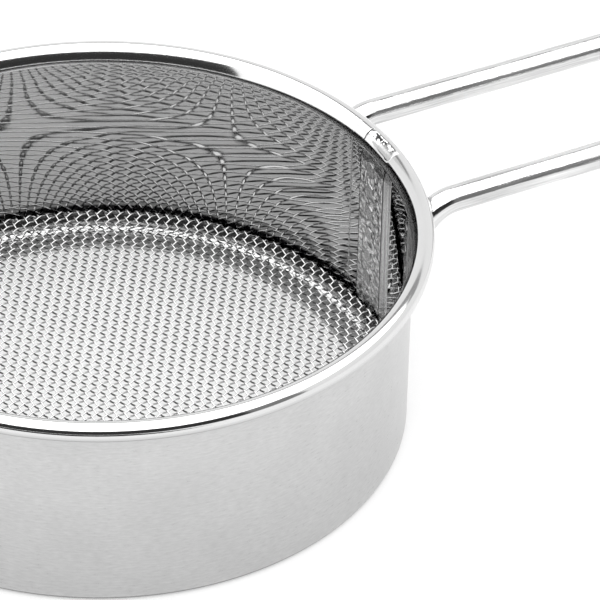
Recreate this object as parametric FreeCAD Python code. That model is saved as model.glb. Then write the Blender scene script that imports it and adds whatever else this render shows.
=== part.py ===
import FreeCAD, Part
import math
import os

# Hand flour sifter: a low round drum of sheet steel with a rolled rim and a turned-in foot, a woven
# wire cloth drawn over a flanged ring in the foot, and a long handle bent from one round rod.
# The drum's axis is Z, the foot stands on Z = 0, and the handle points along +X.
# Lengths are in millimetres and angles in degrees, turning from +X towards +Y.

# Driving dimensions
SHEET = 0.5                     # drum sheet thickness
WALL_INNER_RADIUS = 65.0        # smooth inside of the drum
RIM_TUBE_RADIUS = 2.5           # outside of the rolled rim's round section
RIM_CENTRE_Z = 45.7             # height of the rolled rim's centre line
RIM_ROLL_ANGLE = 315.0          # how far the sheet rolls round the core wire
FOOT_BEND_RADIUS = 1.5          # outside radius of the bend into the foot
FOOT_LIP_INNER_RADIUS = 59.5    # the turned-in foot reaches in to here
CORE_WIRE_RADIUS = 1.95         # wire inside the rolled rim

LAP_HALF_ANGLE = 4.0            # where both ends of the sheet lie on each other
LAP_JOGGLE_ANGLE = 4.6          # the inner end steps back to the wall over this angle
LAP_BOTTOM_Z = 1.8
LAP_TOP_Z = 45.4
SPOT_WELD_RADIUS = 1.5
SPOT_WELD_PROUD = 0.12
SPOT_WELD_COUNT = 7
SPOT_WELD_EDGE = 4.0            # first and last spot weld to the ends of the lap

MESH_CENTRE_Z = 5.2             # height of the woven cloth's middle plane
MESH_WIRE_RADIUS = 0.2
MESH_EDGE_RADIUS = 63.9         # the cloth turns down here, over the ring
WARP_PITCH = 1.80
WARP_DIRECTION = 14.0
WEFT_PITCH = 1.61
WEFT_DIRECTION = 96.5

RING_INNER_RADIUS = 63.2        # upright part of the ring under the cloth's edge
RING_SHEET = 0.5
RING_BEND_RADIUS = 1.1          # inside radius of the bend from the upright into the flange
RING_FLANGE_INNER_RADIUS = 56.0

ROD_RADIUS = 2.95               # handle rod
ROD_HALF_SPACING = 18.15        # each leg's centre line to the handle's middle
ROD_Z = 42.05                   # height of the straight legs' centre lines
ROD_WALL_BEND = 9.0             # centre-line radius of the bend down the wall
ROD_FOOT_Z = 26.2               # the legs' cut ends, low on the wall
ROD_END_ROUND = 0.5
HANDLE_END_X = 210.0            # outermost point of the hanging loop
WELD_RADIUS = 2.2
WELD_END_GAP = 1.6              # from the weld's round end to the rod's cut end

# Worked out from the driving dimensions
WALL_OUTER_RADIUS = WALL_INNER_RADIUS + SHEET
RIM_CENTRE_RADIUS = WALL_INNER_RADIUS + RIM_TUBE_RADIUS
CLOTH_UNDERSIDE_Z = MESH_CENTRE_Z - 2.0 * MESH_WIRE_RADIUS
LEG_WALL_RADIUS = WALL_OUTER_RADIUS + ROD_RADIUS
LEG_X = math.sqrt(LEG_WALL_RADIUS ** 2 - ROD_HALF_SPACING ** 2)
LEG_TOP_Z = ROD_Z - ROD_WALL_BEND
LOOP_CENTRE_X = HANDLE_END_X - ROD_RADIUS - ROD_HALF_SPACING

ORIGIN = FreeCAD.Vector(0, 0, 0)
UP = FreeCAD.Vector(0, 0, 1)


def section_point(radius, z):
    """Point of a section that will be turned about the drum's axis."""
    return FreeCAD.Vector(radius, 0, z)


def polar_point(radius, angle, z=0.0):
    """Point at a radius and a compass angle about the drum's axis."""
    turn = math.radians(angle)
    return FreeCAD.Vector(radius * math.cos(turn), radius * math.sin(turn), z)


def line(start, end):
    return Part.LineSegment(start, end).toShape()


def section_arc(centre_radius, centre_z, arc_radius, start_angle, end_angle):
    """Arc of a section, through the angle halfway between its two ends."""
    points = []
    for angle in (start_angle, (start_angle + end_angle) / 2.0, end_angle):
        turn = math.radians(angle)
        point = section_point(centre_radius + arc_radius * math.cos(turn),
                              centre_z + arc_radius * math.sin(turn))
        points.append(point)
    return Part.Arc(points[0], points[1], points[2]).toShape()


def turned(edges):
    """Solid made by turning a closed section once round the drum's axis."""
    face = Part.Face(Part.Wire(edges))
    return face.revolve(ORIGIN, UP, 360)


def vertical_cylinder(radius, bottom_z, top_z, x=0.0, y=0.0):
    return Part.makeCylinder(radius, top_z - bottom_z, FreeCAD.Vector(x, y, bottom_z), UP)


def drum_shell():
    """Foot lip, wall and rolled rim: one strip of sheet all the way up."""
    foot_centre = WALL_OUTER_RADIUS - FOOT_BEND_RADIUS
    foot_inside = FOOT_BEND_RADIUS - SHEET
    roll_inside = RIM_TUBE_RADIUS - SHEET
    roll_end = 180.0 - RIM_ROLL_ANGLE
    roll_cut = math.radians(roll_end)

    def roll_point(radius):
        return section_point(RIM_CENTRE_RADIUS + radius * math.cos(roll_cut),
                             RIM_CENTRE_Z + radius * math.sin(roll_cut))

    edges = [
        line(section_point(FOOT_LIP_INNER_RADIUS, 0), section_point(foot_centre, 0)),
        section_arc(foot_centre, FOOT_BEND_RADIUS, FOOT_BEND_RADIUS, -90, 0),
        line(section_point(WALL_OUTER_RADIUS, FOOT_BEND_RADIUS),
             section_point(WALL_OUTER_RADIUS, RIM_CENTRE_Z)),
        section_arc(RIM_CENTRE_RADIUS, RIM_CENTRE_Z, roll_inside, 180, roll_end),
        line(roll_point(roll_inside), roll_point(RIM_TUBE_RADIUS)),
        section_arc(RIM_CENTRE_RADIUS, RIM_CENTRE_Z, RIM_TUBE_RADIUS, roll_end, 180),
        line(section_point(WALL_INNER_RADIUS, RIM_CENTRE_Z),
             section_point(WALL_INNER_RADIUS, FOOT_BEND_RADIUS)),
        section_arc(foot_centre, FOOT_BEND_RADIUS, foot_inside, 0, -90),
        line(section_point(foot_centre, SHEET), section_point(FOOT_LIP_INNER_RADIUS, SHEET)),
        line(section_point(FOOT_LIP_INNER_RADIUS, SHEET), section_point(FOOT_LIP_INNER_RADIUS, 0)),
    ]
    return turned(edges)


def lap_layer():
    """The sheet's inner end, lying inside the outer end, with its step back to the wall."""
    inside = WALL_INNER_RADIUS - SHEET
    behind = WALL_INNER_RADIUS + SHEET / 2.0
    step_start = -LAP_HALF_ANGLE - LAP_JOGGLE_ANGLE
    plan = [
        line(polar_point(WALL_INNER_RADIUS, step_start), polar_point(inside, -LAP_HALF_ANGLE)),
        Part.Arc(polar_point(inside, -LAP_HALF_ANGLE),
                 polar_point(inside, 0),
                 polar_point(inside, LAP_HALF_ANGLE)).toShape(),
        line(polar_point(inside, LAP_HALF_ANGLE), polar_point(behind, LAP_HALF_ANGLE)),
        Part.Arc(polar_point(behind, LAP_HALF_ANGLE),
                 polar_point(behind, (LAP_HALF_ANGLE + step_start) / 2.0),
                 polar_point(behind, step_start)).toShape(),
        line(polar_point(behind, step_start), polar_point(WALL_INNER_RADIUS, step_start)),
    ]
    layer = Part.Face(Part.Wire(plan)).extrude(FreeCAD.Vector(0, 0, LAP_TOP_Z - LAP_BOTTOM_Z))
    layer.translate(FreeCAD.Vector(0, 0, LAP_BOTTOM_Z))
    return layer


def drum_band():
    return drum_shell().fuse(lap_layer()).removeSplitter()


def rim_core_wire():
    return Part.makeTorus(RIM_CENTRE_RADIUS, CORE_WIRE_RADIUS, FreeCAD.Vector(0, 0, RIM_CENTRE_Z), UP)


def seam_spot_welds():
    """A column of low round nuggets on the inner face of the lap."""
    face_radius = WALL_INNER_RADIUS - SHEET
    first_z = LAP_BOTTOM_Z + SPOT_WELD_EDGE + FOOT_BEND_RADIUS
    step = (LAP_TOP_Z - SPOT_WELD_EDGE - first_z) / (SPOT_WELD_COUNT - 1)
    inward = FreeCAD.Vector(-1, 0, 0)
    lap_core = vertical_cylinder(face_radius, 0, RIM_CENTRE_Z)
    nuggets = []
    for number in range(SPOT_WELD_COUNT):
        start = FreeCAD.Vector(face_radius + SHEET / 2.0, 0, first_z + number * step)
        slug = Part.makeCylinder(SPOT_WELD_RADIUS, SHEET / 2.0 + SPOT_WELD_PROUD, start, inward)
        nuggets.append(slug.common(lap_core))
    return Part.makeCompound(nuggets)


def straight_wires(pitch, direction, centre_z):
    """Parallel wires that fill the cloth's round outline from edge to edge."""
    along = polar_point(1.0, direction)
    across = polar_point(1.0, direction + 90.0)
    count = int(MESH_EDGE_RADIUS / pitch)
    wires = []
    for number in range(-count, count + 1):
        offset = number * pitch
        half_length = math.sqrt(MESH_EDGE_RADIUS ** 2 - offset ** 2)
        start = across * offset - along * half_length + UP * centre_z
        wires.append(Part.makeCylinder(MESH_WIRE_RADIUS, 2.0 * half_length, start, along))
    return Part.makeCompound(wires)


def mesh_retaining_ring():
    """Sheet ring of L section: its upright carries the cloth, and its flange lies on the foot lip."""
    flange_top_z = SHEET + RING_SHEET
    outside = RING_INNER_RADIUS + RING_SHEET
    bend_centre = RING_INNER_RADIUS - RING_BEND_RADIUS
    bend_centre_z = flange_top_z + RING_BEND_RADIUS
    round_edge = RING_SHEET / 2.0
    top_centre = RING_INNER_RADIUS + round_edge
    top_centre_z = CLOTH_UNDERSIDE_Z - round_edge
    tip_centre = RING_FLANGE_INNER_RADIUS + round_edge
    tip_centre_z = SHEET + round_edge
    edges = [
        line(section_point(tip_centre, SHEET), section_point(bend_centre, SHEET)),
        section_arc(bend_centre, bend_centre_z, RING_BEND_RADIUS + RING_SHEET, -90, 0),
        line(section_point(outside, bend_centre_z), section_point(outside, top_centre_z)),
        section_arc(top_centre, top_centre_z, round_edge, 0, 180),
        line(section_point(RING_INNER_RADIUS, top_centre_z),
             section_point(RING_INNER_RADIUS, bend_centre_z)),
        section_arc(bend_centre, bend_centre_z, RING_BEND_RADIUS, 0, -90),
        line(section_point(bend_centre, flange_top_z), section_point(tip_centre, flange_top_z)),
        section_arc(tip_centre, tip_centre_z, round_edge, 90, 270),
    ]
    return turned(edges)


def handle_loop():
    """One rod: up the wall, out along the handle, round the hanging loop, and back."""
    y = ROD_HALF_SPACING
    bend = ROD_WALL_BEND
    bend_x = LEG_X + bend
    half = math.sqrt(0.5)

    def leg_edges(side):
        foot = FreeCAD.Vector(LEG_X, side * y, ROD_FOOT_Z)
        top = FreeCAD.Vector(LEG_X, side * y, LEG_TOP_Z)
        middle = FreeCAD.Vector(bend_x - bend * half, side * y, LEG_TOP_Z + bend * half)
        out = FreeCAD.Vector(bend_x, side * y, ROD_Z)
        loop = FreeCAD.Vector(LOOP_CENTRE_X, side * y, ROD_Z)
        return [line(foot, top), Part.Arc(top, middle, out).toShape(), line(out, loop)]

    loop_arc = Part.Arc(FreeCAD.Vector(LOOP_CENTRE_X, -y, ROD_Z),
                        FreeCAD.Vector(LOOP_CENTRE_X + y, 0, ROD_Z),
                        FreeCAD.Vector(LOOP_CENTRE_X, y, ROD_Z)).toShape()
    path = Part.Wire(leg_edges(-1) + [loop_arc] + leg_edges(1)[::-1])
    section = Part.makeCircle(ROD_RADIUS, FreeCAD.Vector(LEG_X, -y, ROD_FOOT_Z), UP)
    rod = path.makePipeShell([Part.Wire([section])], True, False)
    cut_ends = []
    for edge in rod.Edges:
        box = edge.BoundBox
        if box.ZMax < ROD_FOOT_Z + ROD_END_ROUND and edge.Length > 2.0 * ROD_RADIUS:
            cut_ends.append(edge)
    return rod.makeFillet(ROD_END_ROUND, cut_ends)


def handle_weld(side):
    """Fillet of weld metal in the two grooves between a leg and the wall."""
    azimuth = side * math.degrees(math.asin(ROD_HALF_SPACING / LEG_WALL_RADIUS))
    contact = polar_point(WALL_OUTER_RADIUS, azimuth)
    bottom_z = ROD_FOOT_Z + WELD_END_GAP + WELD_RADIUS
    bead = vertical_cylinder(WELD_RADIUS, bottom_z, LEG_TOP_Z, contact.x, contact.y)
    for end_z in (bottom_z, LEG_TOP_Z):
        bead = bead.fuse(Part.makeSphere(WELD_RADIUS, FreeCAD.Vector(contact.x, contact.y, end_z)))
    wall = vertical_cylinder(WALL_OUTER_RADIUS, 0, RIM_CENTRE_Z)
    return bead.cut(wall).cut(handle_loop())


NODES = {
    "drum_band": drum_band(),
    "rim_core_wire": rim_core_wire(),
    "seam_spot_welds": seam_spot_welds(),
    "mesh_warp_wires": straight_wires(WARP_PITCH, WARP_DIRECTION, MESH_CENTRE_Z + MESH_WIRE_RADIUS),
    "mesh_weft_wires": straight_wires(WEFT_PITCH, WEFT_DIRECTION, MESH_CENTRE_Z - MESH_WIRE_RADIUS),
    "mesh_retaining_ring": mesh_retaining_ring(),
    "handle_loop": handle_loop(),
    "handle_weld_left": handle_weld(1),
    "handle_weld_right": handle_weld(-1),
}

os.makedirs("parts", exist_ok=True)
for name, shape in NODES.items():
    shape.exportStep("parts/" + name + ".step")
    print(name, "solids", len(shape.Solids), "valid", shape.isValid(), "volume", round(shape.Volume, 1))
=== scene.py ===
"""Flour sifter: the looks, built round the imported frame.

Lengths are in metres and angles in degrees. The drum's axis is Z, the handle points along +X.
"""
import math

import bpy
import numpy as np
from mathutils import Matrix, Vector, noise


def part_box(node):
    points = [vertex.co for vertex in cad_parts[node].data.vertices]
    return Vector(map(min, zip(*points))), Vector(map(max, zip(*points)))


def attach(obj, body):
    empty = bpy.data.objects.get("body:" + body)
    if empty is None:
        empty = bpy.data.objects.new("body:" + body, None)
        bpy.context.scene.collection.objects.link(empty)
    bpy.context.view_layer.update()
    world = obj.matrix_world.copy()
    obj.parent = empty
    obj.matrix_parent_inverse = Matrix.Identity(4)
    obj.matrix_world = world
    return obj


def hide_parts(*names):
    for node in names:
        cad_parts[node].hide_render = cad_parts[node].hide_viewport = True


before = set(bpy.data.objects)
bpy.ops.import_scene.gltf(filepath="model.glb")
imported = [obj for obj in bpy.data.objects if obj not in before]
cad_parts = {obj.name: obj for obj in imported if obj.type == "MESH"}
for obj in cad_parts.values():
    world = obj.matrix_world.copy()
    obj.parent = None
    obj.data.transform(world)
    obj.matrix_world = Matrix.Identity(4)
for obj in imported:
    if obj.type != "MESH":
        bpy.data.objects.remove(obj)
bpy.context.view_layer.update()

MM = 0.001
BODY = "root"

# ---------------------------------------------------------------- sizes, from the frame where it has them
drum_low, drum_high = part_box("drum_band")
core_low, core_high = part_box("rim_core_wire")
_, ring_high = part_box("mesh_retaining_ring")
warp_low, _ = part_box("mesh_warp_wires")
weft_low, weft_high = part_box("mesh_weft_wires")
handle_low, handle_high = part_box("handle_loop")

SHEET = 0.5 * MM
RIM_OUTER = (drum_high.y - drum_low.y) / 2
RIM_Z = (core_low.z + core_high.z) / 2
RIM_TUBE = drum_high.z - RIM_Z
RIM_RADIUS = RIM_OUTER - RIM_TUBE
WALL_INNER = RIM_RADIUS - RIM_TUBE
WALL_OUTER = WALL_INNER + SHEET
FOOT_BEND = 1.5 * MM
LIP_INNER = 59.5 * MM

LAP_HALF = 4.0                  # azimuths on the seam, in degrees
LAP_CREASE = -5.2               # the sheet's inner end has stepped in from the wall here
LAP_START = -8.4                # and it leaves the wall's face here
SCORE_LINE = 7.3
LAP_BOTTOM = 1.8 * MM

WIRE = (weft_high.z - weft_low.z) / 2       # radius
MESH_Z = (warp_low.z + weft_high.z) / 2
MESH_RISE_START = 60.0 * MM
MESH_RISE = 0.35 * MM           # the cloth is drawn up by this much before it folds down
MESH_FOLD_START = 63.2 * MM
MESH_FOLD_BEND = 0.7 * MM
MESH_FOLD_DROP = 2.6 * MM
WARP_CRIMP = 0.88               # how far each family swings up and down, in wire radii; they add up to 2
WEFT_CRIMP = 1.12
WIRE_SIDES = 6
FLANK_SHADE_TONE = 0.05                # share of its tone that a weft wire keeps on its falling flank, which is painted dark as shade
WARP_PITCH = 1.80 * MM
WARP_DIRECTION = 14.0
WEFT_PITCH = 1.61 * MM
WEFT_DIRECTION = 96.5

RING_SHEET = 0.5 * MM
RING_INNER = 63.2 * MM
RING_BEND = 2.0 * MM            # the bend into the flange, gentler than the CAD ring's
RING_FLANGE_INNER = 56.0 * MM

ROD_Z = 42.05 * MM
ROD_RADIUS = 2.95 * MM
ROD_HALF_SPACING = handle_high.y - ROD_RADIUS
ROD_WALL_BEND = 9.0 * MM
ROD_END_ROUND = 0.5 * MM
ROD_SIDES = 48
ROD_FOOT_Z = handle_low.z
LEG_RADIUS = WALL_OUTER + ROD_RADIUS
LEG_X = math.sqrt(LEG_RADIUS ** 2 - ROD_HALF_SPACING ** 2)
LOOP_X = handle_high.x - ROD_RADIUS - ROD_HALF_SPACING

# ---------------------------------------------------------------- camera and studio
HANDLE_TURN = 25.7              # the handle's direction, turned from the camera's right
CAMERA_ELEVATION = 35.89
CAMERA_DISTANCE = 0.945
CAMERA_LENS = 270.5
CAMERA_ROLL = 1.39
AIM_RIGHT = 40.7 * MM           # the aim point, right of the drum's axis and towards the camera
AIM_NEAR = 24.6 * MM


def studio(right, away, up):
    """Point given along the camera's right, away from the camera and up, in the row's frame."""
    turn = math.radians(-HANDLE_TURN)
    return Vector((right * math.cos(turn) - away * math.sin(turn),
                   right * math.sin(turn) + away * math.cos(turn),
                   up))


def add_camera():
    tilt = math.radians(CAMERA_ELEVATION)
    place = studio(0, -CAMERA_DISTANCE * math.cos(tilt), RIM_Z + CAMERA_DISTANCE * math.sin(tilt))
    aim = studio(AIM_RIGHT, -AIM_NEAR, RIM_Z)
    forward = (aim - place).normalized()
    right = forward.cross(Vector((0, 0, 1))).normalized()
    up = right.cross(forward)
    roll = math.radians(CAMERA_ROLL)
    right_rolled = math.cos(roll) * right + math.sin(roll) * up
    up_rolled = -math.sin(roll) * right + math.cos(roll) * up
    turn = Matrix((right_rolled, up_rolled, -forward)).transposed()
    data = bpy.data.cameras.new("camera")
    data.lens = CAMERA_LENS
    data.sensor_width = 36.0
    data.clip_start = 0.05
    data.clip_end = 50.0
    camera = bpy.data.objects.new("camera", data)
    bpy.context.scene.collection.objects.link(camera)
    camera.matrix_world = Matrix.Translation(place) @ turn.to_4x4()
    bpy.context.scene.camera = camera


# ---------------------------------------------------------------- mesh helpers
def new_object(name, vertices, faces, materials=(), smooth=True):
    mesh = bpy.data.meshes.new(name)
    mesh.from_pydata([tuple(v) for v in vertices], [], [tuple(f) for f in faces])
    mesh.update()
    for material in materials:
        mesh.materials.append(material)
    if smooth:
        mesh.polygons.foreach_set("use_smooth", [True] * len(mesh.polygons))
    piece = bpy.data.objects.new(name, mesh)
    bpy.context.scene.collection.objects.link(piece)
    return piece


def set_uv(piece, loop_uv):
    layer = piece.data.uv_layers.new(name="surface")
    layer.data.foreach_set("uv", np.asarray(loop_uv, dtype=np.float32).ravel())


def place(piece, slot, *nodes):
    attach(piece, BODY)
    if nodes:
        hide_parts(*nodes)


def arc(centre, radius, start, end, steps):
    """Points of a section's arc, from its start angle to its end angle, both included."""
    angles = np.radians(np.linspace(start, end, steps + 1))
    return [(centre[0] + radius * math.cos(a), centre[1] + radius * math.sin(a)) for a in angles]


def straight(start, end, steps):
    """Points strictly between two points of a section."""
    shares = [k / steps for k in range(1, steps)]
    return [(start[0] + (end[0] - start[0]) * s, start[1] + (end[1] - start[1]) * s) for s in shares]


def joined(parts):
    """One section from stretches of points that each have a finish, and the finish of each of its points."""
    section, finishes = [], []
    for points, finish in parts:
        section += points
        finishes += [finish] * len(points)
    return section, finishes


def turned(name, section, angles, materials, finishes, shift=None):
    """Closed section turned once round the drum's axis, with a surface map in metres.

    A section point's finish is the material of the skin from it to the next point. shift(angle, radius, z,
    finish) gives the change of radius and height at a point.
    """
    rows, columns = len(section), len(angles)
    vertices = []
    for angle in angles:
        c, s = math.cos(math.radians(angle)), math.sin(math.radians(angle))
        for row, (radius, z) in enumerate(section):
            if shift is not None:
                more_radius, more_z = shift(angle, radius, z, finishes[row])
                radius, z = radius + more_radius, z + more_z
            vertices.append((radius * c, radius * s, z))
    lengths = [0.0]
    for k in range(rows):
        a, b = section[k], section[(k + 1) % rows]
        lengths.append(lengths[-1] + math.hypot(b[0] - a[0], b[1] - a[1]))
    faces, uv, slots = [], [], []
    scale = math.radians(1.0) * section[0][0]
    for column in range(columns):
        following = (column + 1) % columns
        u0 = angles[column] * scale
        u1 = (angles[following] + (360.0 if following == 0 else 0.0)) * scale
        for row in range(rows):
            up = (row + 1) % rows
            faces.append((column * rows + row, following * rows + row,
                          following * rows + up, column * rows + up))
            uv += [(u0, lengths[row]), (u1, lengths[row]), (u1, lengths[row + 1]), (u0, lengths[row + 1])]
            slots.append(finishes[row])
    piece = new_object(name, vertices, faces, materials)
    piece.data.polygons.foreach_set("material_index", slots)
    set_uv(piece, uv)
    return piece


def tube(name, paths, radius, sides, material, side_hint):
    """Round bars along paths of points, capped, with a surface map along their length.

    side_hint is a direction that stays roughly square to every path.
    """
    vertices, faces, uv = [], [], []
    ring = np.radians(np.arange(sides) * 360.0 / sides)
    for path in paths:
        points = np.asarray(path, dtype=float)
        along = np.gradient(points, axis=0)
        along /= np.linalg.norm(along, axis=1)[:, None]
        side = np.asarray(side_hint, dtype=float)[None, :]
        side = side - along * np.sum(side * along, axis=1)[:, None]
        side /= np.linalg.norm(side, axis=1)[:, None]
        other = np.cross(along, side)
        start = len(vertices)
        body = (points[:, None, :] + radius * (np.cos(ring)[None, :, None] * side[:, None, :]
                                               + np.sin(ring)[None, :, None] * other[:, None, :]))
        vertices.extend(body.reshape(-1, 3).tolist())
        steps = np.linalg.norm(np.diff(points, axis=0), axis=1)
        far = np.concatenate([[0.0], np.cumsum(steps)])
        for k in range(len(points) - 1):
            for n in range(sides):
                m = (n + 1) % sides
                faces.append((start + k * sides + n, start + k * sides + m,
                              start + (k + 1) * sides + m, start + (k + 1) * sides + n))
                a, b = n * radius * math.tau / sides, (n + 1) * radius * math.tau / sides
                uv += [(far[k], a), (far[k], b), (far[k + 1], b), (far[k + 1], a)]
        last = start + (len(points) - 1) * sides
        faces.append(tuple(start + n for n in reversed(range(sides))))
        faces.append(tuple(last + n for n in range(sides)))
        uv += [(0.0, 0.0)] * sides + [(far[-1], 0.0)] * sides
    piece = new_object(name, vertices, faces, [material])
    set_uv(piece, uv)
    return piece


# ---------------------------------------------------------------- materials
SMUDGES_PER_METRE = 90.0
WAVES_PER_METRE = 60.0
NOISE_LOW, NOISE_HIGH = 0.3, 0.7        # most of a noise texture's values lie between these
ROUGHNESS_SPREAD = 0.25                 # how far the grain moves the roughness up and down


def multiplied(material, first, second):
    """The product of two node outputs."""
    nodes, links = material.node_tree.nodes, material.node_tree.links
    product = nodes.new("ShaderNodeMath")
    product.operation = "MULTIPLY"
    links.new(first, product.inputs[0])
    links.new(second, product.inputs[1])
    return product.outputs["Value"]


def steel(name, tint, roughness, grain, grain_strength, waves=0.0, smudge=0.05, length=45.0, mapped=True,
          depth=0.02 * MM, streaks=0.0, shaded_flanks=False):
    """Stainless steel: a base tone with faint smudges, and drawn or brushed grain along the surface map.

    grain is how many grain lines there are in a millimetre across the grain, and length how many times
    longer than wide they are. depth is the grain's height, waves the height of the sheet's slow unevenness,
    and streaks and smudge how much the grain and the smudges show in the tone. mapped is off for pieces
    without a surface map. The last argument is for wires whose points carry how much painted shade their
    falling flanks get.
    """
    material = bpy.data.materials.new(name)
    material.use_nodes = True
    nodes, links = material.node_tree.nodes, material.node_tree.links
    shader = nodes["Principled BSDF"]
    shader.inputs["Metallic"].default_value = 1.0
    shader.inputs["IOR"].default_value = 2.4

    where = nodes.new("ShaderNodeTexCoord")
    stretch = nodes.new("ShaderNodeMapping")
    stretch.inputs["Scale"].default_value = (grain / MM / length, grain / MM, grain / MM)
    if mapped:
        uv = nodes.new("ShaderNodeUVMap")
        uv.uv_map = "surface"
        links.new(uv.outputs["UV"], stretch.inputs["Vector"])
    else:
        links.new(where.outputs["Object"], stretch.inputs["Vector"])
    lines = nodes.new("ShaderNodeTexNoise")
    lines.inputs["Scale"].default_value = 1.0
    lines.inputs["Detail"].default_value = 4.0
    lines.inputs["Roughness"].default_value = 0.65
    links.new(stretch.outputs["Vector"], lines.inputs["Vector"])

    cloud = nodes.new("ShaderNodeTexNoise")
    cloud.inputs["Scale"].default_value = SMUDGES_PER_METRE
    cloud.inputs["Detail"].default_value = 3.0
    links.new(where.outputs["Object"], cloud.inputs["Vector"])

    tone = nodes.new("ShaderNodeMapRange")
    tone.inputs["To Min"].default_value = tint * (1.0 - smudge)
    tone.inputs["To Max"].default_value = tint * (1.0 + smudge)
    links.new(cloud.outputs["Fac"], tone.inputs["Value"])
    tone_out = tone.outputs["Result"]
    if streaks:
        streak = nodes.new("ShaderNodeMapRange")
        streak.inputs["From Min"].default_value = NOISE_LOW
        streak.inputs["From Max"].default_value = NOISE_HIGH
        streak.inputs["To Min"].default_value = 1.0 - streaks
        streak.inputs["To Max"].default_value = 1.0 + streaks * 0.5
        links.new(lines.outputs["Fac"], streak.inputs["Value"])
        tone_out = multiplied(material, tone_out, streak.outputs["Result"])
    # darkens the wires' falling flanks by the painted shade that their points carry
    if shaded_flanks:
        flank_shade = nodes.new("ShaderNodeAttribute")
        flank_shade.attribute_name = "flank_shade"
        flank_shade_tone = nodes.new("ShaderNodeMapRange")
        flank_shade_tone.inputs["To Min"].default_value = 1.0
        flank_shade_tone.inputs["To Max"].default_value = FLANK_SHADE_TONE
        links.new(flank_shade.outputs["Fac"], flank_shade_tone.inputs["Value"])
        tone_out = multiplied(material, tone_out, flank_shade_tone.outputs["Result"])
    colour = nodes.new("ShaderNodeCombineColor")
    links.new(tone_out, colour.inputs["Red"])
    links.new(tone_out, colour.inputs["Green"])
    links.new(tone_out, colour.inputs["Blue"])
    links.new(colour.outputs["Color"], shader.inputs["Base Color"])

    rough = nodes.new("ShaderNodeMapRange")
    rough.inputs["To Min"].default_value = roughness * (1.0 - ROUGHNESS_SPREAD)
    rough.inputs["To Max"].default_value = roughness * (1.0 + ROUGHNESS_SPREAD)
    links.new(lines.outputs["Fac"], rough.inputs["Value"])
    links.new(rough.outputs["Result"], shader.inputs["Roughness"])

    bump = nodes.new("ShaderNodeBump")
    bump.inputs["Strength"].default_value = grain_strength
    bump.inputs["Distance"].default_value = depth
    links.new(lines.outputs["Fac"], bump.inputs["Height"])
    if waves:
        swell = nodes.new("ShaderNodeTexNoise")
        swell.inputs["Scale"].default_value = WAVES_PER_METRE
        swell.inputs["Detail"].default_value = 1.0
        links.new(where.outputs["Object"], swell.inputs["Vector"])
        wide = nodes.new("ShaderNodeBump")
        wide.inputs["Strength"].default_value = 1.0
        wide.inputs["Distance"].default_value = waves
        links.new(swell.outputs["Fac"], wide.inputs["Height"])
        links.new(wide.outputs["Normal"], bump.inputs["Normal"])
    links.new(bump.outputs["Normal"], shader.inputs["Normal"])
    return material


def glowing(name, strength):
    material = bpy.data.materials.new(name)
    material.use_nodes = True
    nodes, links = material.node_tree.nodes, material.node_tree.links
    nodes.remove(nodes["Principled BSDF"])
    light = nodes.new("ShaderNodeEmission")
    light.inputs["Strength"].default_value = strength
    links.new(light.outputs["Emission"], nodes["Material Output"].inputs["Surface"])
    return material


# ---------------------------------------------------------------- studio
WORLD_LIGHT = 1.2
FLOOR_HALF_WIDTH = 8.0
FLOOR_GLOW = 0.42
FLOOR_TONE = 0.36
SOFTBOX_LIGHT = 3.4             # a level softbox over the drum
SOFTBOX_HEIGHT = 0.9
SOFTBOX_FRONT_ELEVATION = 37.0  # the elevation of its edges, seen from the drum
SOFTBOX_BACK_ELEVATION = 50.0
SOFTBOX_HALF_WIDTH = 1.3
FRAME_LIGHT = 0.4               # its dim frame, beyond its back edge
FRAME_BACK_ELEVATION = 41.0
FRAME_SPLIT = -0.45             # left of here the frame is lighter
FRAME_LEFT_LIGHT = 0.85
FLAG_DISTANCE = 1.5             # upright cards round the drum, each over a span of directions
FLAG_LIGHT = 0.045
FLAG_SPAN = (-140.0, -45.0)
LEFT_CARD_LIGHT = 1.7
LEFT_CARD_SPAN = (-200.0, -140.0)
SIDE_FLAG_LIGHT = 0.3
SIDE_FLAG_SPAN = (-45.0, -26.0)
SHADE_INNER = 0.97              # the shade ring's glow at its inner edge
SHADE_OUTER = 1.36              # and at its outer edge
SHADE_GAP = 1.0 * MM            # from the wall to the shade ring's inner edge
SHADE_REACH = 58.0 * MM         # and to its outer edge
SHADE_HEIGHT = 0.3 * MM
TABLE_FLAG_RIGHT = (-0.6, 0.12)
TABLE_FLAG_AWAY = (-0.9, -0.205)
TABLE_FLAG_HEIGHT = 0.4 * MM


def add_world():
    bpy.context.scene.view_settings.view_transform = "Standard"
    world = bpy.data.worlds.new("studio_world")
    bpy.context.scene.world = world
    world.use_nodes = True
    background = world.node_tree.nodes["Background"]
    background.inputs["Color"].default_value = (1.0, 1.0, 1.0, 1.0)
    background.inputs["Strength"].default_value = WORLD_LIGHT


def add_floor():
    half = FLOOR_HALF_WIDTH
    corners = [(-half, -half, 0), (half, -half, 0), (half, half, 0), (-half, half, 0)]
    floor = new_object("floor", corners, [(0, 1, 2, 3)], smooth=False)
    material = bpy.data.materials.new("floor_white")
    material.use_nodes = True
    nodes, links = material.node_tree.nodes, material.node_tree.links
    nodes.remove(nodes["Principled BSDF"])
    matte = nodes.new("ShaderNodeBsdfDiffuse")
    matte.inputs["Color"].default_value = (FLOOR_TONE, FLOOR_TONE, FLOOR_TONE, 1.0)
    glow = nodes.new("ShaderNodeEmission")
    glow.inputs["Strength"].default_value = FLOOR_GLOW
    both = nodes.new("ShaderNodeAddShader")
    links.new(matte.outputs["BSDF"], both.inputs[0])
    links.new(glow.outputs["Emission"], both.inputs[1])
    links.new(both.outputs["Shader"], nodes["Material Output"].inputs["Surface"])
    floor.data.materials.append(material)


def reflected_only(card, lights_floor=False):
    card.visible_camera = False
    card.visible_shadow = False
    card.visible_diffuse = lights_floor


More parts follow.
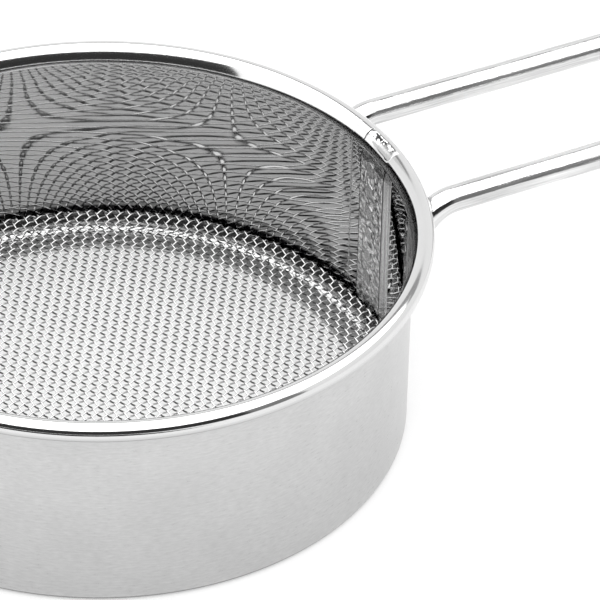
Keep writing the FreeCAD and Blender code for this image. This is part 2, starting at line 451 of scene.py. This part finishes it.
def flat_card(name, right, away, up, strength, lights_floor=False):
    """Level rectangle over the given spans, seen only by the light and in reflections."""
    corners = [studio(right[0], away[0], up), studio(right[1], away[0], up),
               studio(right[1], away[1], up), studio(right[0], away[1], up)]
    card = new_object(name, corners, [(0, 1, 2, 3)], [glowing(name, strength)], smooth=False)
    reflected_only(card, lights_floor)


def curved_card(name, start, end, low, high, strength):
    """Upright curved card at a distance, between two compass directions and two elevations."""
    steps = 16
    vertices, faces = [], []
    for k in range(steps + 1):
        turn = math.radians(start + (end - start) * k / steps)
        for elevation in (low, high):
            rise = math.radians(elevation)
            vertices.append(studio(FLAG_DISTANCE * math.cos(rise) * math.cos(turn),
                                   FLAG_DISTANCE * math.cos(rise) * math.sin(turn),
                                   RIM_Z + FLAG_DISTANCE * math.sin(rise)))
    for k in range(steps):
        faces.append((2 * k, 2 * k + 2, 2 * k + 3, 2 * k + 1))
    card = new_object(name, vertices, faces, [glowing(name, strength)], smooth=False)
    reflected_only(card)


def add_shade_ring():
    """Flat ring round the foot that only reflections see: the floor's soft shade under the drum."""
    steps = 96
    inner, outer = WALL_OUTER + SHADE_GAP, WALL_OUTER + SHADE_REACH
    vertices, faces = [], []
    for k in range(steps):
        turn = math.tau * k / steps
        for radius in (inner, outer):
            vertices.append((radius * math.cos(turn), radius * math.sin(turn), SHADE_HEIGHT))
    for k in range(steps):
        m = (k + 1) % steps
        faces.append((2 * k, 2 * k + 1, 2 * m + 1, 2 * m))
    material = glowing("shade_ring", SHADE_OUTER)
    nodes, links = material.node_tree.nodes, material.node_tree.links
    where = nodes.new("ShaderNodeTexCoord")
    reach = nodes.new("ShaderNodeVectorMath")
    reach.operation = "LENGTH"
    links.new(where.outputs["Object"], reach.inputs[0])
    fade = nodes.new("ShaderNodeMapRange")
    fade.inputs["From Min"].default_value = inner
    fade.inputs["From Max"].default_value = outer
    fade.inputs["To Min"].default_value = SHADE_INNER
    fade.inputs["To Max"].default_value = SHADE_OUTER
    links.new(reach.outputs["Value"], fade.inputs["Value"])
    links.new(fade.outputs["Result"], nodes["Emission"].inputs["Strength"])
    ring = new_object("shade_ring", vertices, faces, [material], smooth=False)
    reflected_only(ring)


def add_studio():
    add_world()
    add_floor()
    high = SOFTBOX_HEIGHT
    front = -high / math.tan(math.radians(SOFTBOX_FRONT_ELEVATION))
    back = high / math.tan(math.radians(SOFTBOX_BACK_ELEVATION))
    frame_back = high / math.tan(math.radians(FRAME_BACK_ELEVATION))
    left, right = -SOFTBOX_HALF_WIDTH, SOFTBOX_HALF_WIDTH
    flat_card("softbox", (left, right), (front, back), high, SOFTBOX_LIGHT, lights_floor=True)
    flat_card("softbox_back_frame", (FRAME_SPLIT, right), (back, frame_back), high, FRAME_LIGHT)
    flat_card("softbox_back_left", (left, FRAME_SPLIT), (back, frame_back), high, FRAME_LEFT_LIGHT)
    curved_card("dark_flag", *FLAG_SPAN, 0.0, SOFTBOX_FRONT_ELEVATION, FLAG_LIGHT)
    curved_card("bright_left_card", *LEFT_CARD_SPAN, 0.0, SOFTBOX_FRONT_ELEVATION, LEFT_CARD_LIGHT)
    curved_card("dark_side_flag", *SIDE_FLAG_SPAN, 0.0, SOFTBOX_FRONT_ELEVATION, SIDE_FLAG_LIGHT)
    add_shade_ring()
    flat_card("dark_flag_on_table", TABLE_FLAG_RIGHT, TABLE_FLAG_AWAY, TABLE_FLAG_HEIGHT, FLAG_LIGHT)


# ---------------------------------------------------------------- drum
ROLL_END = -150.0
SATIN_FINISH, RIM_FINISH, MIRROR_FINISH, JOINT_SHADE_FINISH, FOOT_SHADE_FINISH, GROUND_FINISH = range(6)


def rim_profile():
    """Outside of the rolled rim, from the roll's cut edge under it, over the top and down to the wall.

    Each stretch is an arc given by its radius and the directions that its outside faces at its two ends.
    """
    under, top, inside, foot = 2.2 * MM, 2.1 * MM, 6.6 * MM, 3.0 * MM
    lean = math.radians(143.0)      # the direction faced where the top meets the inside's gentle curve
    settle = math.radians(164.0)    # the direction faced where the inside turns upright
    reach = -top * math.cos(lean)
    reach += inside * (math.cos(lean) - math.cos(settle))
    reach += foot * (math.cos(settle) + 1)
    outer = 2 * RIM_TUBE - reach
    widest = (RIM_OUTER - outer, RIM_Z + RIM_TUBE - outer)
    below = arc((RIM_OUTER - under, widest[1]), under, ROLL_END, 0, 20)
    over = arc(widest, outer, 0, 90, 18)
    crown = arc((over[-1][0], over[-1][1] - top), top, 90, math.degrees(lean), 14)
    centre = (crown[-1][0] - inside * math.cos(lean), crown[-1][1] - inside * math.sin(lean))
    gentle = arc(centre, inside, math.degrees(lean), math.degrees(settle), 10)
    centre = (gentle[-1][0] - foot * math.cos(settle), gentle[-1][1] - foot * math.sin(settle))
    upright = arc(centre, foot, math.degrees(settle), 180, 5)
    return below + over[1:] + crown[1:] + gentle[1:] + upright[1:]


def drum_section():
    """The sheet's outline in section, from the lip's edge outwards and round, and each point's finish."""
    satin, rim, mirror = SATIN_FINISH, RIM_FINISH, MIRROR_FINISH
    half = SHEET / 2
    foot = (WALL_OUTER - FOOT_BEND, FOOT_BEND)
    roll = (RIM_RADIUS, RIM_Z)
    lip = (LIP_INNER + half, half)
    rim_skin = rim_profile()
    parts = [
        (arc(lip, half, 90, 270, 6), satin),
        (straight((LIP_INNER + half, 0), (foot[0], 0), 3), satin),
        # the foot's bend is painted darker: painted shade for the floor's contact shadow at the foot
        (arc(foot, FOOT_BEND, -90, -27, 7), FOOT_SHADE_FINISH),
        (arc(foot, FOOT_BEND, -18, 0, 2), satin),
        (straight((WALL_OUTER, FOOT_BEND), (WALL_OUTER, RIM_Z - RIM_TUBE), 12), satin),
        (arc(roll, RIM_TUBE - 2 * SHEET, 180, ROLL_END, 16), satin),
        (rim_skin[:-1], rim),
        (rim_skin[-1:], mirror),
        (straight(rim_skin[-1], (WALL_INNER, FOOT_BEND), 14), mirror),
        (arc(foot, FOOT_BEND - SHEET, 0, -90, 6), mirror),
        (straight((foot[0], SHEET), (LIP_INNER + half, SHEET), 3), mirror),
    ]
    return joined(parts)


def seam_columns():
    """Azimuths of the drum's columns: close together at the seam and its score line."""
    spans = [
        (-10.0, 10.0, 0.2),
        (10.0, 350.0, 0.8),
        (SCORE_LINE - 0.25, SCORE_LINE + 0.25, 0.05),
        (LAP_HALF - 0.3, LAP_HALF + 0.3, 0.05),
    ]
    columns = set()
    for start, end, step in spans:
        columns |= set(np.round(np.arange(start, end, step), 3))
    return sorted(columns)


def ramp(x, low, high):
    return min(1.0, max(0.0, (x - low) / (high - low)))


def smooth_step(x, low, high):
    t = ramp(x, low, high)
    return t * t * (3 - 2 * t)


def band(x, rise, fall):
    """1 between two smooth steps, one up and one down, each given by its two ends."""
    return smooth_step(x, *rise) * (1 - smooth_step(x, *fall))


def dent(x, middle, width):
    """Bell-shaped bump, 1 high at its middle."""
    return math.exp(-((x - middle) / width) ** 2)


# The seam's dents: azimuths, and the directions that the rim's roll faces, are in degrees and depths in
# millimetres. A pair of pairs says between which values a part fades in and between which it fades out.
SEAM_REACH = 12.0
RIM_DEGREE = 1.18               # millimetres in a degree of azimuth at the rim
WALL_DEGREE = 1.13              # the same at the wall
ROLL_DEGREE = 0.046             # millimetres in a degree round the rim's roll
RIM_NOISE_LAYER = 3.0
LAP_NOISE_LAYER = 7.0
SCORE_DEPTH = 0.015
SCORE_WIDTH = 0.12

JOINT_REACH = LAP_HALF + 1.5    # the rim's joint lies within this azimuth
JOINT_FACING = ((58.0, 100.0), (128.0, 168.0))
STEP_START = -LAP_HALF - 1.2    # azimuths of the bright step at the joint's far end
STEP_END = -LAP_HALF - 0.1
STEP_FACING = (72.0, 158.0)
LINE_DEPTH = 0.10               # the fine dark line at the joint's near end
LINE_WIDTH = 0.10
LINE_MARK = 0.15                # the skin is painted dark as shade within this azimuth of the line
LINE_FACING = (80.0, 168.0)
SINK_NEAR = 0.02                # the joint sinks slowly from its near end to its far end
SINK_MORE = 0.38
UNEVEN_DEPTH = 0.025
UNEVEN_SCALE = 1.4
GROOVE_AZIMUTH = -LAP_HALF + 0.2
GROOVE_DEPTH = 0.45
GROOVE_WIDTH = 0.30
GROOVE_RISE = (92.0, 120.0)
GROOVE_MARK_AZIMUTH = -LAP_HALF + 0.3   # the groove's part that is painted dark as shade
GROOVE_MARK = 0.34
GROOVE_MARK_FACING = (96.0, 162.0)
PIT_FACING = ((80.0, 92.0), (112.0, 124.0))
PIT_AZIMUTH = ((-LAP_HALF, -LAP_HALF + 0.8), (2.0, 3.2))
PIT_SCALE = 1.05
PIT_SHARE = 0.14                # the larger, the more of the zone is pitted
PIT_DEPTH = 0.8
FINE_PIT_SCALE = 2.3
FINE_PIT_DEPTH = 0.10
SHADED_PIT_DEPTH = 0.07           # pits deeper than this are painted dark as shade


def rim_spot(azimuth, facing):
    """Where the rim's noise is read: millimetres along the rim and round its roll."""
    return Vector((azimuth * RIM_DEGREE, facing * ROLL_DEGREE, RIM_NOISE_LAYER))


def pit_depth(azimuth, facing):
    """Depth of the weld's pits on the rim's inner top."""
    zone = band(facing, *PIT_FACING) * band(azimuth, *PIT_AZIMUTH)
    spot = rim_spot(azimuth, facing)
    coarse = max(0.0, noise.noise(spot * PIT_SCALE) + PIT_SHARE) * PIT_DEPTH
    return zone * (coarse + noise.noise(spot * FINE_PIT_SCALE) * FINE_PIT_DEPTH)


def roll_facing(radius, z):
    """The direction in section that the rim's roll faces at a point."""
    return math.degrees(math.atan2(z - RIM_Z, radius - RIM_RADIUS)) % 360.0


def drum_shift(angle, radius, z, finish):
    """Dents of the seam: a fine score line, and the rough joint where the rolled rim's ends meet.

    The joint begins with a fine line, sinks slowly, is pitted on the rim's inner top, and ends in a groove
    and a step.
    """
    azimuth = angle if angle < 180 else angle - 360
    if abs(azimuth) > SEAM_REACH:
        return 0.0, 0.0
    score = SCORE_DEPTH * MM * dent(azimuth, SCORE_LINE, SCORE_WIDTH)
    if finish == MIRROR_FINISH and z > FOOT_BEND:
        return score, 0.0
    if finish != RIM_FINISH:
        return 0.0, 0.0
    facing = roll_facing(radius, z)
    line = LINE_DEPTH * dent(azimuth, LAP_HALF, LINE_WIDTH)
    body = 1 - smooth_step(azimuth, LAP_HALF - LINE_WIDTH, LAP_HALF)
    slope = SINK_NEAR + SINK_MORE * smooth_step(-azimuth, -LAP_HALF, LAP_HALF)
    step = smooth_step(azimuth, STEP_START, STEP_END)
    uneven = noise.noise(rim_spot(azimuth, facing) * UNEVEN_SCALE) * UNEVEN_DEPTH
    groove = GROOVE_DEPTH * dent(azimuth, GROOVE_AZIMUTH, GROOVE_WIDTH) * smooth_step(facing, *GROOVE_RISE)
    sink = step * body * (slope + pit_depth(azimuth, facing) + uneven + groove) + line
    sink = (sink * band(facing, *JOINT_FACING)) * MM + score
    out_r, out_z = radius - RIM_RADIUS, z - RIM_Z
    far = math.hypot(out_r, out_z)
    return -sink * out_r / far, -sink * out_z / far


def joint_finish(azimuth, facing):
    """Finish of the rim's skin near its joint: painted shade in the line, groove and pits, ground on the
    step.
    """
    on_line = abs(azimuth - LAP_HALF) < LINE_MARK and LINE_FACING[0] < facing < LINE_FACING[1]
    in_groove = abs(azimuth - GROOVE_MARK_AZIMUTH) < GROOVE_MARK
    in_groove = in_groove and GROOVE_MARK_FACING[0] < facing < GROOVE_MARK_FACING[1]
    # the joint's line, groove and deep pits are painted near-black: painted shade in the gap and the hollows
    if on_line or in_groove or pit_depth(azimuth, facing) > SHADED_PIT_DEPTH:
        return JOINT_SHADE_FINISH
    if STEP_START < azimuth < STEP_END and STEP_FACING[0] < facing < STEP_FACING[1]:
        return GROUND_FINISH
    return RIM_FINISH


def add_drum(materials):
    section, finishes = drum_section()
    drum = turned("drum_band_skin", section, seam_columns(), materials, finishes, drum_shift)
    for face in drum.data.polygons:
        azimuth = math.degrees(math.atan2(face.center.y, face.center.x))
        if face.material_index == RIM_FINISH and abs(azimuth) <= JOINT_REACH:
            facing = roll_facing(math.hypot(face.center.x, face.center.y), face.center.z)
            face.material_index = joint_finish(azimuth, facing)
    place(drum, "drum_steel", "drum_band")


# ---------------------------------------------------------------- lap inside the wall
STRIP_FINISH, JOGGLE_FINISH, CUT_AND_CREASE_SHADE_FINISH = range(3)
LAP_COLUMN = 0.16               # azimuth between two columns of the lap's grid
LAP_GRID_END = LAP_HALF - 0.42  # the columns near the cut end are placed singly
LAP_EDGE = 0.36                 # azimuth over which the sheet's cut end is rounded
LAP_EDGE_DEPTH = 0.18           # depths are in millimetres
CREASE_DEPTH = 0.10
CREASE_WIDTH = 0.22
CUT_MARK = 0.40                 # azimuths over which the cut end and the crease are painted dark as shade
CREASE_MARK = 0.16
LAP_ROWS = 240
LAP_TOP_RISE = 0.2 * MM         # from where the rim's inside begins to the lap's top
LAP_FADE = (2.6 * MM, 0.2 * MM)     # below its top, the lap settles flush with the wall
LAP_BURIED = 0.4                # share of the sheet that the lap's back reaches into the wall
WELD_AZIMUTH = ((LAP_CREASE + 0.1, LAP_CREASE + 0.7), (3.3, 3.8))
WELD_FADE = (5.0 * MM, 2.0 * MM)    # below the rim's inside, the roughness ends
WELD_SCALE = 0.9
WELD_DEPTH = 0.08
WELD_FINE_SCALE = 2.0
WELD_FINE_DEPTH = 0.05
RIM_INSIDE_POINTS = 16          # the last points of the rim's outline, which lie on its inside


def lap_roughness(azimuth, z, rim_start):
    """How far the lap's face is sunk by the welds, the crease and the rounded cut end, in millimetres."""
    weld = band(azimuth, *WELD_AZIMUTH)
    weld *= 1 - smooth_step(z, rim_start - WELD_FADE[0], rim_start - WELD_FADE[1])
    spot = Vector((azimuth * WALL_DEGREE, z / MM, LAP_NOISE_LAYER))
    rough = noise.noise(spot * WELD_SCALE) * WELD_DEPTH
    rough += noise.noise(spot * WELD_FINE_SCALE) * WELD_FINE_DEPTH
    crease = CREASE_DEPTH * dent(azimuth, LAP_CREASE, CREASE_WIDTH)
    edge = LAP_EDGE_DEPTH * smooth_step(azimuth, LAP_HALF - LAP_EDGE, LAP_HALF)
    return weld * rough + crease + edge


def lap_finish(azimuth):
    # the cut end and the crease are painted near-black: painted shade along the sheet's step and its fold
    if azimuth > LAP_HALF - CUT_MARK or abs(azimuth - LAP_CREASE) < CREASE_MARK:
        return CUT_AND_CREASE_SHADE_FINISH
    return JOGGLE_FINISH if azimuth < LAP_CREASE else STRIP_FINISH


def slab_faces(across, tall):
    """Faces of a thin slab: a front grid of points, the same grid behind it, and its four edges."""
    total = across * tall
    faces = []
    for r in range(tall - 1):
        for k in range(across - 1):
            a, b = r * across + k, r * across + k + 1
            faces.append((b, a, a + across, b + across))
            faces.append((total + a, total + b, total + b + across, total + a + across))
    for r in range(tall - 1):
        a, b = r * across, (r + 1) * across - 1
        faces.append((a, total + a, total + a + across, a + across))
        faces.append((total + b, b, b + across, total + b + across))
    for k in range(across - 1):
        t = (tall - 1) * across + k
        faces.append((k, k + 1, total + k + 1, total + k))
        faces.append((t + 1, t, total + t, total + t + 1))
    return faces


def add_lap(materials):
    """The sheet's inner end inside the wall: a step in from the wall, then a strip pitted by the welds."""
    last_columns = [LAP_HALF - LAP_EDGE, LAP_HALF - LAP_EDGE / 2, LAP_HALF]
    columns = np.concatenate([np.arange(LAP_START, LAP_GRID_END, LAP_COLUMN), last_columns])
    rim_inside = sorted((z, radius) for radius, z in rim_profile()[-RIM_INSIDE_POINTS:])
    heights = [z for z, radius in rim_inside]
    radii = [radius for z, radius in rim_inside]
    top = heights[0] + LAP_TOP_RISE
    rows = np.linspace(LAP_BOTTOM, top, LAP_ROWS)
    front, back = [], []
    for z in rows:
        wall = float(np.interp(z, heights, radii))
        behind = wall + SHEET * LAP_BURIED
        proud = 1 - smooth_step(z, top - LAP_FADE[0], top - LAP_FADE[1])
        for azimuth in columns:
            inset = SHEET * ramp(azimuth, LAP_START, LAP_CREASE) * proud
            radius = wall - inset + lap_roughness(azimuth, z, heights[0]) * MM
            c, s = math.cos(math.radians(azimuth)), math.sin(math.radians(azimuth))
            front.append((radius * c, radius * s, z))
            back.append((behind * c, behind * s, z))
    across, total = len(columns), len(front)
    faces = slab_faces(across, len(rows))
    scale = math.radians(1.0) * WALL_INNER
    uv, finishes = [], []
    for face in faces:
        for index in face:
            uv.append((columns[index % total % across] * scale, rows[index % total // across]))
        finishes.append(lap_finish(sum(columns[index % total % across] for index in face) / len(face)))
    lap = new_object("drum_lap_end", front + back, faces, materials)
    set_uv(lap, uv)
    lap.data.polygons.foreach_set("material_index", finishes)
    place(lap, "drum_steel")


# ---------------------------------------------------------------- ring under the cloth
FLANGE_FINISH, BEND_FINISH, UPRIGHT_SHADE_FINISH = range(3)


def add_ring(materials):
    flange_top = SHEET + RING_SHEET
    edge = RING_SHEET / 2
    bend = (RING_INNER - RING_BEND, flange_top + RING_BEND)
    top = (RING_INNER + edge, ring_high.z + MESH_RISE - (WEFT_CRIMP - 1.0) * WIRE - edge)
    tip = (RING_FLANGE_INNER + edge, SHEET + edge)
    bend_skin = arc(bend, RING_BEND, 0, -90, 14)
    parts = [
        (arc(tip, edge, 90, 270, 8), FLANGE_FINISH),
        (straight((tip[0], SHEET), (bend[0], SHEET), 4), FLANGE_FINISH),
        (arc(bend, RING_BEND + RING_SHEET, -90, 0, 12), FLANGE_FINISH),
        # the ring's top and inner upright face are painted near-black: painted shade in the dark gap under
        # the cloth's fold
        (arc(top, edge, 0, 180, 10), UPRIGHT_SHADE_FINISH),
        (bend_skin[:-1], BEND_FINISH),
        (bend_skin[-1:], FLANGE_FINISH),
        (straight((bend[0], flange_top), (tip[0], flange_top), 4), FLANGE_FINISH),
    ]
    section, finishes = joined(parts)
    ring = turned("mesh_ring_skin", section, list(np.arange(0.0, 360.0, 1.0)), materials, finishes)
    place(ring, "ring_steel", "mesh_retaining_ring")


# ---------------------------------------------------------------- woven cloth
POINTS_PER_CROSSING = 4.0
SHORTEST_WIRE = 3               # wires shorter than this many pitches to each side are left out
FLANK_SHADE_SPREAD = 0.55              # the smaller, the more of a falling flank gets painted shade


def fold_down(flat, lift):
    """Cloth points laid over the ring and down its outside, from flat points and heights over the middle."""
    radius = np.linalg.norm(flat, axis=1)
    outward = flat / np.maximum(radius, 1e-9)[:, None]
    beyond = np.maximum(radius - MESH_FOLD_START, 0.0)
    angle = np.minimum(beyond / MESH_FOLD_BEND, math.pi / 2)
    down = np.maximum(beyond - MESH_FOLD_BEND * math.pi / 2, 0.0)
    r = np.minimum(radius, MESH_FOLD_START) + MESH_FOLD_BEND * np.sin(angle) + lift * np.sin(angle)
    share = np.clip((radius - MESH_RISE_START) / (MESH_FOLD_START - MESH_RISE_START), 0.0, 1.0)
    rise = MESH_RISE * share * share * (3 - 2 * share)
    z = MESH_Z + rise - MESH_FOLD_BEND * (1 - np.cos(angle)) - down + lift * np.cos(angle)
    return np.column_stack([outward * r[:, None], z])


def woven_paths(pitch, direction, other_pitch, other_direction, crimp, parity):
    """Every second wire of one family, passing over and under the other family's wires.

    crimp is negative for the weft, which starts under the warp. Only the weft's falling flanks get painted
    shade.
    """
    along = np.array([math.cos(math.radians(direction)), math.sin(math.radians(direction))])
    across = np.array([-along[1], along[0]])
    other_along = math.radians(other_direction)
    other_across = np.array([-math.sin(other_along), math.cos(other_along)])
    cloth = MESH_FOLD_START + MESH_FOLD_BEND * math.pi / 2 + MESH_FOLD_DROP
    count = int(cloth / pitch)
    paths, flank_shades = [], []
    for number in range(-count, count + 1):
        if number % 2 != parity:
            continue
        offset = number * pitch
        half = math.sqrt(cloth ** 2 - offset ** 2)
        if half < SHORTEST_WIRE * pitch:
            continue
        step = other_pitch / POINTS_PER_CROSSING / abs(along @ other_across)
        steps = max(8, int(round(2 * half / step)))
        s = np.linspace(-half, half, steps + 1)
        flat = across[None, :] * offset + along[None, :] * s[:, None]
        phase = flat @ other_across / other_pitch
        lift = crimp * WIRE * np.cos(math.pi * (phase + number))
        paths.append(fold_down(flat, lift))
        slope = np.gradient(lift)
        # painted shade on the falling flanks, for the shadow where a wire dips under the crossing wire
        falling = np.clip(-slope / np.abs(slope).max(), 0.0, 1.0) ** FLANK_SHADE_SPREAD
        flank_shades.append(falling if crimp < 0 else np.zeros_like(falling))
    return paths, flank_shades, across


def add_cloth(material):
    families = [
        ("mesh_warp_wires", WARP_PITCH, WARP_DIRECTION, WEFT_PITCH, WEFT_DIRECTION, WARP_CRIMP),
        ("mesh_weft_wires", WEFT_PITCH, WEFT_DIRECTION, WARP_PITCH, WARP_DIRECTION, -WEFT_CRIMP),
    ]
    for node, pitch, direction, other_pitch, other_direction, crimp in families:
        for parity, which in enumerate(("even", "odd")):
            paths, flank_shades, across = woven_paths(pitch, direction, other_pitch, other_direction, crimp, parity)
            wires = tube(f"{node}_{which}", paths, WIRE, WIRE_SIDES, material, (across[0], across[1], 0.0))
            # the wires' points carry their painted shade
            layer = wires.data.attributes.new(name="flank_shade", type="FLOAT", domain="POINT")
            layer.data.foreach_set("value", np.repeat(np.concatenate(flank_shades), WIRE_SIDES).astype(np.float32))
            place(wires, "mesh_steel", node)


# ---------------------------------------------------------------- handle
def handle_path():
    """Middle of the rod: up one leg, round the loop and down the other leg."""
    y, bend = ROD_HALF_SPACING, ROD_WALL_BEND
    leg_top = ROD_Z - bend
    bend_x = LEG_X + bend

    def leg(side):
        points = [(LEG_X, side * y, z) for z in np.linspace(ROD_FOOT_Z, leg_top, 8)]
        for angle in np.radians(np.linspace(0, 90, 25))[1:]:
            points.append((bend_x - bend * math.cos(angle), side * y, leg_top + bend * math.sin(angle)))
        for x in np.linspace(bend_x, LOOP_X, 40)[1:]:
            points.append((x, side * y, ROD_Z))
        return points

    loop = []
    for angle in np.radians(np.linspace(-90, 90, 49))[1:-1]:
        loop.append((LOOP_X + y * math.cos(angle), y * math.sin(angle), ROD_Z))
    return np.array(leg(-1) + loop + leg(1)[::-1])


def add_handle(material):
    points = handle_path()
    along = np.gradient(points, axis=0)
    along /= np.linalg.norm(along, axis=1)[:, None]
    side = np.zeros_like(points)
    previous = np.array([0.0, 1.0, 0.0])
    for k, direction in enumerate(along):
        previous = previous - direction * (previous @ direction)
        previous /= np.linalg.norm(previous)
        side[k] = previous
    other = np.cross(along, side)

    def rounded_end(k, inward, angle):
        """Centre, path point and radius of a ring on a leg's rounded cut end."""
        centre = points[k] + inward * along[k] * ROD_END_ROUND * (1 - math.sin(angle))
        return centre, k, ROD_RADIUS - ROD_END_ROUND * (1 - math.cos(angle))

    last = len(points) - 1
    end_angles = np.radians((90, 67.5, 45, 22.5))
    rings = [rounded_end(0, 1, angle) for angle in end_angles]
    rings += [(points[k], k, ROD_RADIUS) for k in range(1, last)]
    rings += [rounded_end(last, -1, angle) for angle in end_angles[::-1]]

    vertices, faces, uv = [], [], []
    for centre, k, radius in rings:
        for a in np.radians(np.arange(ROD_SIDES) * 360.0 / ROD_SIDES):
            vertices.append(centre + radius * (math.cos(a) * side[k] + math.sin(a) * other[k]))
    far = [0.0]
    for before, after in zip(rings, rings[1:]):
        far.append(far[-1] + float(np.linalg.norm(after[0] - before[0])))
    around = [n * ROD_RADIUS * math.tau / ROD_SIDES for n in range(ROD_SIDES + 1)]
    for k in range(len(rings) - 1):
        low, high = k * ROD_SIDES, (k + 1) * ROD_SIDES
        for n in range(ROD_SIDES):
            m = (n + 1) % ROD_SIDES
            faces.append((low + n, low + m, high + m, high + n))
            uv += [(far[k], around[n]), (far[k], around[n + 1])]
            uv += [(far[k + 1], around[n + 1]), (far[k + 1], around[n])]
    end = (len(rings) - 1) * ROD_SIDES
    faces.append(tuple(reversed(range(ROD_SIDES))))
    faces.append(tuple(end + n for n in range(ROD_SIDES)))
    uv += [(0.0, 0.0)] * ROD_SIDES + [(far[-1], 0.0)] * ROD_SIDES
    handle = new_object("handle_rod", vertices, faces, [material])
    set_uv(handle, uv)
    place(handle, "handle_steel", "handle_loop")


# ---------------------------------------------------------------- the sifter
add_camera()
add_studio()
satin_steel = steel("satin_steel", 0.54, 0.30, 2.2, 0.9, length=4.0, smudge=0.07, streaks=0.12)
# darker tone for the foot's bend: painted shade standing in for the contact shadow at the floor
foot_shade_steel = steel("foot_shade_steel", 0.28, 0.30, 2.2, 0.9, length=4.0)
rim_steel = steel("rim_steel", 0.62, 0.10, 0.6, 0.05)
mirror_steel = steel("mirror_steel", 0.40, 0.022, 0.5, 0.02, waves=0.042 * MM)
strip_steel = steel("strip_steel", 0.80, 0.07, 0.9, 1.0, smudge=0.6, length=1.5, depth=0.16 * MM, streaks=1.0)
joggle_steel = steel("joggle_steel", 0.64, 0.24, 0.033, 0.6, length=0.022, streaks=0.5)
# near-black tone for the rim joint's line, groove and deep pits: painted shade
joint_shade_steel = steel("joint_shade_steel", 0.035, 0.30, 2.0, 0.6, smudge=0.3)
ground_steel = steel("ground_steel", 0.92, 0.20, 2.0, 0.4)
# near-black tone for the lap's cut end and crease: painted shade
cut_and_crease_shade_steel = steel("cut_and_crease_shade_steel", 0.05, 0.40, 2.0, 0.5)
weld_steel = steel("weld_steel", 0.45, 0.22, 1.2, 1.0, smudge=0.3, length=1.0, mapped=False)
core_steel = steel("core_steel", 0.45, 0.20, 0.8, 0.4, length=1.0, mapped=False)
ring_steel = steel("ring_steel", 0.50, 0.07, 0.5, 0.05)
flange_steel = steel("flange_steel", 0.31, 0.35, 0.5, 0.10)
# near-black tone for the ring's upright face: painted shade under the cloth's fold
upright_shade_steel = steel("upright_shade_steel", 0.08, 0.10, 0.5, 0.05)
# the weft wires' falling flanks are painted dark: painted shade at the crossings
wire_steel = steel("wire_steel", 0.50, 0.07, 1.2, 0.05, shaded_flanks=True)
rod_steel = steel("rod_steel", 0.66, 0.10, 1.6, 0.7, length=30.0, depth=0.06 * MM, streaks=0.35)
add_drum([satin_steel, rim_steel, mirror_steel, joint_shade_steel, foot_shade_steel, ground_steel])
add_lap([strip_steel, joggle_steel, cut_and_crease_shade_steel])
add_ring([flange_steel, ring_steel, upright_shade_steel])
add_cloth(wire_steel)
add_handle(rod_steel)
carried = {
    "rim_core_wire": core_steel,
    "seam_spot_welds": weld_steel,
    "handle_weld_left": weld_steel,
    "handle_weld_right": weld_steel,
}
for node, material in carried.items():
    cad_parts[node].data.materials.clear()
    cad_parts[node].data.materials.append(material)
